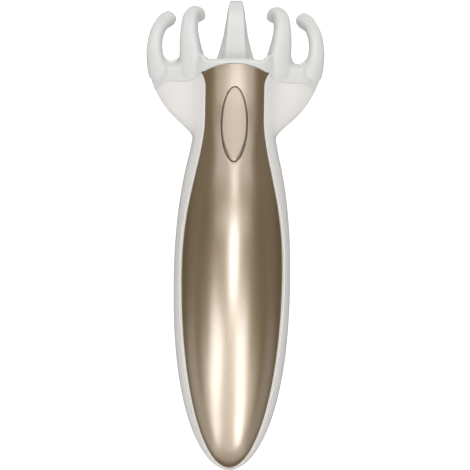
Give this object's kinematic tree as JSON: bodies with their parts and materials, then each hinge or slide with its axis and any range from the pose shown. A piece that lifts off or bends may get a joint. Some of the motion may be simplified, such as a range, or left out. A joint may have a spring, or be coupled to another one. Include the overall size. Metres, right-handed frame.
{
  "type": "scalp massager",
  "caption": "Handheld battery scalp massager: tapering white handle, champagne front cover with an oval push key, flared head with a soft claw of curled ball-tipped fingers.",
  "frame": {"origin": "centre of the bounding box's bottom: the middle of the length and width, on the surface that the massager lies on", "axes": "+Y along the length towards the finger tips, +Z out of the front cover, +X across"},
  "size_m": [0.0786, 0.2098, 0.04],
  "materials": {
    "white_gloss": "glossy white ABS",
    "champagne": "champagne gold metallic lacquer, satin",
    "soft_white": "soft translucent white elastomer, satin",
    "grey_nylon": "moulded nylon",
    "key_satin": "pale champagne, satin",
    "black_rubber": "soft silicone",
    "grey_abs": "moulded ABS",
    "board_green": "solder mask",
    "part_black": "moulded component bodies",
    "plunger_white": "moulded acetal",
    "steel": "drawn steel",
    "brass": "turned brass",
    "cell_case": "plain sleeve",
    "lead_red": "PVC insulation",
    "lead_black": "PVC insulation"
  },
  "bodies": {
    "handle": {"rear_housing": "white_gloss", "front_cover": "champagne", "claw": "soft_white", "claw_carrier": "grey_nylon", "button_gasket": "black_rubber", "chassis": "grey_abs", "circuit_board": "board_green", "board_parts": "part_black", "push_switch": "part_black", "motor_can": "steel", "motor_bush": "brass", "motor_sleeve": "black_rubber", "motor_clamp": "steel", "cell_left": "cell_case", "cell_right": "cell_case", "cell_springs": "steel", "cell_contacts": "steel", "cell_bridge": "steel", "motor_leads": "lead_red", "battery_leads": "lead_black", "cover_screws": "steel", "chassis_screws": "steel", "carrier_screws": "steel", "clamp_screws": "steel", "board_screws": "steel"},
    "key": {"power_button": "key_satin"},
    "plunger": {"switch_plunger": "plunger_white"},
    "rotor": {"motor_shaft": "steel", "eccentric_weight": "steel"},
    "door": {"battery_door": "white_gloss"}
  },
  "joints": [
    {"name": "key_press", "type": "slide", "parent": "handle", "child": "key", "axis": [0, 0, -1], "range_m": [0, 0.0012], "stiffness_N_per_m": 900, "springref_m": -0.001},
    {"name": "plunger_press", "type": "slide", "parent": "handle", "child": "plunger", "axis": [0, 0, -1], "range_m": [0, 0.0012]},
    {"name": "motor_spin", "type": "hinge", "parent": "handle", "child": "rotor", "pos_m": [0, 0.058, 0.0142], "axis": [0, 1, 0], "continuous": true},
    {"name": "door_hinge", "type": "hinge", "parent": "handle", "child": "door", "pos_m": [0, -0.08, 0.00553], "axis": [-1, 0, 0], "range_deg": [0, 60]}
  ],
  "couplings": [
    {"joint": "plunger_press", "follows": "key_press", "ratio": 1}
  ]
}
